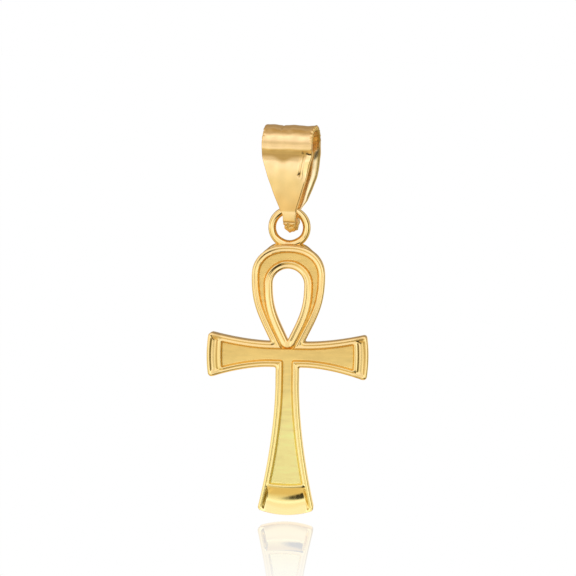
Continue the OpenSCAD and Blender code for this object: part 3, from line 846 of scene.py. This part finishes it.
# The bail's inner face, left unpolished as the sheet came, so rougher and less metallic; its colour is
# painted paler, as light that reaches into the fold
INNER_PAINTED_LIGHT_COLOUR, INNER_ROUGHNESS, INNER_METAL = (1.0, 0.79, 0.43), 0.22, 0.9
# Painted shade: what the colour is multiplied by where it is painted on, and the roughness of those duller
# places
PAINTED_SHADE_TINT, DULL_ROUGHNESS = (0.53, 0.46, 0.28), 0.26
# What the satin's colour is multiplied by, up to the arms and down the stem
SATIN_TINT, STEM_SATIN_TINT = (1.01, 0.97, 0.75), (1.08, 1.17, 1.14)
# Levels between which the casting's colour passes to the stem's
STEM_FADE = -15.5 * MM, -22 * MM


def gold(name, colour, low_colour, rough, rough_marks, wave_depth, satin_rough=0.42, satin_depth=2.4e-6):
    """Gold that is polished, and satin or granular where the mesh's own "worked" attribute says so.

    The colour passes to low_colour down the stem. Where "inner" says so, it passes to that of unpolished
    sheet, painted paler as light that reaches into the fold. The satin has a tint of its own and a little
    light and dark in its grain and its mottling. Where the dull
    attribute says so, shade is painted in: the gold is darker, and rougher.
    """
    mat = bpy.data.materials.new(name)
    mat.use_nodes = True
    tree = mat.node_tree
    shader = tree.nodes["Principled BSDF"]
    worked, inner, dull = (add_node(tree, "ShaderNodeAttribute", attribute_name=key).outputs["Fac"]
                           for key in ("worked", "inner", "dull"))
    groups = bpy.data.node_groups
    satin, polish = (add_node(tree, "ShaderNodeGroup", node_tree=group).outputs for group in (
        groups.get("satin grain") or satin_grain_group(), groups.get("hand polish") or polish_group()))
    place = tree.nodes.new("ShaderNodeTexCoord").outputs["Object"]
    height = add_node(tree, "ShaderNodeSeparateXYZ", {0: place}).outputs["Z"]
    down = mapped(tree, height, 0.0, 1.0, *STEM_FADE)
    # The inner face is painted paler, as light reaching into the fold
    tint = mix(tree, inner, mix(tree, down, colour, low_colour), INNER_PAINTED_LIGHT_COLOUR)
    shade = maths(tree, "MULTIPLY", mapped(tree, satin["Mask"], 0.86, 1.02, 0.3, 0.7),
                  mapped(tree, satin["Height"], 0.93, 1.07, 0.25, 0.75))
    satin_tint = mix(tree, down, SATIN_TINT, STEM_SATIN_TINT)
    # The satin's grain and tint, then the painted shade where the dull attribute says so
    for factor in (mapped(tree, worked, 1.0, shade), mix(tree, worked, WHITE, satin_tint),
                   mix(tree, dull, WHITE, PAINTED_SHADE_TINT)):
        tint = vector_maths(tree, "MULTIPLY", tint, factor)
    roughness = mapped(tree, polish["Mask"], rough, rough + rough_marks, 0.35, 0.7)
    for share, value in ((worked, satin_rough), (inner, INNER_ROUGHNESS), (dull, DULL_ROUGHNESS)):
        roughness = mapped(tree, share, roughness, value)
    rolling = add_node(tree, "ShaderNodeBump", {
        "Strength": 1.0, "Distance": wave_depth, "Height": polish["Height"]}).outputs[0]
    amount = maths(tree, "MULTIPLY", satin["Height"], worked)
    bump = add_node(tree, "ShaderNodeBump", {
        "Strength": 1.0, "Distance": satin_depth, "Height": amount, "Normal": rolling}).outputs[0]
    for key, value in (("Base Color", tint), ("Roughness", roughness), ("Normal", bump),
                       ("Metallic", mapped(tree, inner, 1.0, INNER_METAL))):
        tree.links.new(value, shader.inputs[key])
    return mat


# Stage

FLOOR_HALF = 0.6
MIRROR_STRENGTH, MIRROR_REACH = 0.45, 34 * MM
# Turn, rise and roll of the camera in degrees, and how far it is from what it looks at, in millimetres
CAMERA_ANGLES = 5, 7.5, 0.7
CAMERA_AIM, CAMERA_DISTANCE = (-0.12, 0, -11.08), 246
LENS, SENSOR = 200, 36

# Brightness round the pendant by its angle from behind, from the left (0) past the front (0.5) to behind
ROUND = [
    (0.0, (0.4, 0.33, 0.22)), (0.15, (0.4, 0.31, 0.18)), (0.2, (1.0, 0.97, 0.9)), (0.28, (1.1, 1.08, 1.0)),
    (0.31, (0.7, 0.6, 0.42)), (0.355, (0.6, 0.5, 0.32)), (0.385, (1.3, 1.3, 1.3)), (0.41, (1.3, 1.3, 1.3)),
    (0.43, (1.0, 1.0, 1.0)), (0.45, (1.0, 1.0, 1.0)), (0.47, (1.03, 1.02, 1.02)),
    (0.53, (1.03, 1.02, 1.02)), (0.555, (1.3, 1.3, 1.4)), (0.6, (1.3, 1.3, 1.4)), (0.63, (0.28, 0.24, 0.12)),
    (0.69, (0.2, 0.17, 0.07)), (0.74, (0.8, 0.76, 0.6)), (0.85, (0.8, 0.76, 0.6)),
    (0.89, (0.35, 0.27, 0.14)), (1.0, (0.4, 0.33, 0.22)),
]
# Brightness by height, from straight down (0) past the horizon (0.5) to straight up (1)
UPWARD = [
    (0.0, (1.1, 1.1, 1.1)), (0.03, (1.1, 1.1, 1.1)), (0.09, (0.76, 0.62, 0.35)), (0.25, (0.74, 0.62, 0.37)),
    (0.317, (0.82, 0.76, 0.58)), (0.389, (0.9, 0.93, 0.84)), (0.455, (1.0, 1.05, 1.05)),
    (0.478, (1.2, 1.25, 1.5)), (0.506, (1.15, 1.2, 1.4)), (0.54, (0.98, 1.0, 1.05)),
    (0.59, (0.98, 1.0, 1.1)), (0.644, (1.05, 1.08, 1.3)), (0.78, (1.05, 1.08, 1.3)),
    (0.92, (0.52, 0.42, 0.27)), (1.0, (0.48, 0.38, 0.24)),
]
# Soft patches, two dark ones in front and a light one behind: bearing, height, half width and half
# height in degrees, how far they lean with the height, and what the light is multiplied by
PATCHES = [(-25.0, 11.0, 15.0, 9.0, 0.0, 0.88), (14.5, -33.5, 18.0, 24.0, 0.5, 0.06),
           (180.0, -34.0, 40.0, 36.0, 0.0, 2.6), (-180.0, -34.0, 40.0, 36.0, 0.0, 2.6)]
# Shares of a patch's size between which it fades out
PATCH_EDGE = 0.8, 1.1
# Heights in degrees between which the bearing loses its effect
POLAR = 50, 80


def white_floor():
    """A glossy white floor whose gloss fades towards the front. The gold itself sees only the world."""
    mat = bpy.data.materials.new("white floor")
    mat.use_nodes = True
    tree = mat.node_tree
    tree.nodes.clear()
    place = tree.nodes.new("ShaderNodeTexCoord").outputs["Object"]
    depth = add_node(tree, "ShaderNodeSeparateXYZ", {0: place}).outputs["Y"]
    fade = mapped(tree, depth, 0.0, MIRROR_STRENGTH, -MIRROR_REACH, 0.0)
    white = add_node(tree, "ShaderNodeEmission", {"Color": (*WHITE, 1)}).outputs[0]
    gloss = add_node(tree, "ShaderNodeBsdfGlossy", {"Color": (*WHITE, 1), "Roughness": 0.0}).outputs[0]
    top = add_node(tree, "ShaderNodeMixShader", {0: fade, 1: white, 2: gloss}).outputs[0]
    clear = tree.nodes.new("ShaderNodeBsdfTransparent").outputs[0]
    seen = tree.nodes.new("ShaderNodeLightPath").outputs["Is Camera Ray"]
    both = add_node(tree, "ShaderNodeMixShader", {0: seen, 1: clear, 2: top}).outputs[0]
    add_node(tree, "ShaderNodeOutputMaterial", {"Surface": both})
    return mat


def soft_studio():
    """A world of soft light: bright in front, darker at the sides, behind and overhead.

    Soft patches, ellipses in bearing and height, give the polished metal something to reflect. The
    camera itself sees plain white, and so does the floor's mirror, the only sharp one.
    """
    world = bpy.data.worlds.new("studio")
    world.use_nodes = True
    tree = world.node_tree
    tree.nodes.clear()
    way = tree.nodes.new("ShaderNodeTexCoord").outputs["Generated"]
    part = add_node(tree, "ShaderNodeSeparateXYZ", {0: way}).outputs
    turn = maths(tree, "ARCTAN2", part["X"], maths(tree, "MULTIPLY", part["Y"], -1.0))
    rise = maths(tree, "ARCSINE", part["Z"])
    angle = mapped(tree, turn, 0.0, 1.0, -math.pi, math.pi)
    high = mapped(tree, rise, 0.0, 1.0, -math.pi / 2, math.pi / 2)
    polar = mapped(tree, maths(tree, "ABSOLUTE", rise), 0.0, 1.0, *map(math.radians, POLAR))
    sides = mix(tree, polar, ramp(tree, angle, ROUND), WHITE)
    light = vector_maths(tree, "MULTIPLY", sides, ramp(tree, high, UPWARD))
    bearing = add_node(tree, "ShaderNodeCombineXYZ", {0: turn, 1: rise}).outputs[0]
    for at, height, half_width, half_height, lean, left in PATCHES:
        aside = vector_maths(tree, "SUBTRACT", bearing, (math.radians(at), math.radians(height), 0))
        above = add_node(tree, "ShaderNodeSeparateXYZ", {0: aside}).outputs["Y"]
        aside = vector_maths(tree, "MULTIPLY_ADD", above, (lean, 0, 0), aside)
        shares = vector_maths(tree, "MULTIPLY", aside,
                              (1 / math.radians(half_width), 1 / math.radians(half_height), 0))
        away = add_node(tree, "ShaderNodeVectorMath", {0: shares}, operation="LENGTH").outputs["Value"]
        light = vector_maths(tree, "MULTIPLY", light, mapped(tree, away, left, 1.0, *PATCH_EDGE))
    path = tree.nodes.new("ShaderNodeLightPath").outputs
    seen = maths(tree, "MAXIMUM", path["Is Camera Ray"], path["Is Singular Ray"])
    lit = add_node(tree, "ShaderNodeBackground", {"Color": light}).outputs[0]
    plain = add_node(tree, "ShaderNodeBackground", {"Color": (*WHITE, 1)}).outputs[0]
    both = add_node(tree, "ShaderNodeMixShader", {0: seen, 1: lit, 2: plain}).outputs[0]
    add_node(tree, "ShaderNodeOutputWorld", {"Surface": both})
    return world


def add_floor(scene, level):
    """A square floor at a level."""
    mesh = bpy.data.meshes.new("floor")
    mesh.from_pydata([(-FLOOR_HALF, -FLOOR_HALF, level), (FLOOR_HALF, -FLOOR_HALF, level),
                      (FLOOR_HALF, FLOOR_HALF, level), (-FLOOR_HALF, FLOOR_HALF, level)], [], [(0, 1, 2, 3)])
    floor = bpy.data.objects.new("floor", mesh)
    scene.collection.objects.link(floor)
    mesh.materials.append(white_floor())


def add_camera(scene):
    """The camera, in spherical coordinates about what it looks at, and rolled about its own axis."""
    turn, rise, roll = map(math.radians, CAMERA_ANGLES)
    back = Vector((math.sin(turn) * math.cos(rise), -math.cos(turn) * math.cos(rise), math.sin(rise)))
    level = Vector((math.cos(turn), math.sin(turn), 0))
    right = math.cos(roll) * level + math.sin(roll) * back.cross(level)
    lens = bpy.data.cameras.new("camera")
    lens.lens, lens.sensor_width = LENS, SENSOR
    lens.clip_start, lens.clip_end = 0.01, 10
    camera = bpy.data.objects.new("camera", lens)
    place = Matrix((right, back.cross(right), back)).transposed().to_4x4()
    place.translation = Vector(CAMERA_AIM) * MM + back * CAMERA_DISTANCE * MM
    camera.matrix_world = place
    scene.collection.objects.link(camera)
    scene.camera = camera


# Settings

class AnkhFinish(bpy.types.PropertyGroup):
    """Colours of the gold"""
    casting_colour: FloatVectorProperty(
        name="Casting colour", description="Colour of the casting's polished gold",
        subtype="COLOR", size=3, default=(0.95, 0.67, 0.27), min=0, max=1)
    stem_colour: FloatVectorProperty(
        name="Stem colour", description="Colour that the casting's gold passes to down the stem",
        subtype="COLOR", size=3, default=(1.0, 0.78, 0.31), min=0, max=1)
    bail_colour: FloatVectorProperty(
        name="Bail colour", description="Colour of the bail's gold",
        subtype="COLOR", size=3, default=(0.96, 0.66, 0.29), min=0, max=1)


class AnkhStage(bpy.types.PropertyGroup):
    """How the pendant stands in its studio"""
    floor_gap: FloatProperty(
        name="Floor gap", description="Height of the ankh's foot above the floor",
        unit="LENGTH", precision=5, default=0.34 * MM, min=0)


# Operators

class ANKH_OT_casting(bpy.types.Operator):
    """Builds the gold ankh with its ring soldered on"""
    bl_idname = "ankh.casting"
    bl_label = "Gold ankh"

    def execute(self, context):
        finish = context.scene.ankh_finish
        body = new_object("gold_ankh", *casting_mesh())
        added = [new_object("ring", *ring_mesh()), new_object("solder", *solder_mesh())]
        for piece in added:
            join = body.modifiers.new(piece.name, "BOOLEAN")
            join.operation, join.solver, join.object = "UNION", "MANIFOLD", piece
        context.view_layer.update()
        fused = bpy.data.meshes.new_from_object(body.evaluated_get(context.evaluated_depsgraph_get()))
        body.modifiers.clear()
        body.data = fused
        for piece in added:
            bpy.data.objects.remove(piece)
        fused.transform(Matrix.Translation((HANG_SHIFT * MM, 0, 0)))
        fused.shade_smooth()
        fused.set_sharp_from_angle(angle=SHARP_ANGLE)
        fused.materials.clear()
        fused.materials.append(gold("casting gold", finish.casting_colour, finish.stem_colour,
                                    rough=0.1, rough_marks=0.08, wave_depth=1.2e-6))
        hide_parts("ankh")
        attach(body, "ankh")
        return {"FINISHED"}


class ANKH_OT_bail(bpy.types.Operator):
    """Builds the folded bail with its solder tip"""
    bl_idname = "ankh.bail"
    bl_label = "Folded bail"

    def execute(self, context):
        finish = context.scene.ankh_finish
        bail = new_object("folded_bail", *bail_mesh())
        bail.data.materials.append(gold("bail gold", finish.bail_colour, finish.bail_colour,
                                        rough=0.12, rough_marks=0.1, wave_depth=2.0e-6,
                                        satin_rough=0.35, satin_depth=1.5e-5))
        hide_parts("bail")
        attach(bail, "bail")
        return {"FINISHED"}


class ANKH_OT_stage(bpy.types.Operator):
    """Sets up the floor, the light and the camera"""
    bl_idname = "ankh.stage"
    bl_label = "Studio"

    def execute(self, context):
        scene = context.scene
        scene.view_settings.view_transform = "Standard"
        add_floor(scene, FOOT_Z * MM - scene.ankh_stage.floor_gap)
        scene.world = soft_studio()
        add_camera(scene)
        return {"FINISHED"}


class ANKH_PT_panel(bpy.types.Panel):
    bl_label = "Ankh pendant"
    bl_idname = "ANKH_PT_panel"
    bl_space_type = "VIEW_3D"
    bl_region_type = "UI"
    bl_category = "Ankh"

    def draw(self, context):
        for operator in OPERATORS:
            self.layout.operator(operator.bl_idname)


OPERATORS = (ANKH_OT_casting, ANKH_OT_bail, ANKH_OT_stage)
CLASSES = (AnkhFinish, AnkhStage) + OPERATORS + (ANKH_PT_panel,)


def register():
    for cls in CLASSES:
        bpy.utils.register_class(cls)
    bpy.types.Scene.ankh_finish = PointerProperty(type=AnkhFinish)
    bpy.types.Scene.ankh_stage = PointerProperty(type=AnkhStage)


def unregister():
    del bpy.types.Scene.ankh_stage
    del bpy.types.Scene.ankh_finish
    for cls in reversed(CLASSES):
        bpy.utils.unregister_class(cls)


def main():
    register()
    bpy.ops.ankh.stage()
    bpy.ops.ankh.casting()
    bpy.ops.ankh.bail()


if __name__ == "__main__":
    main()
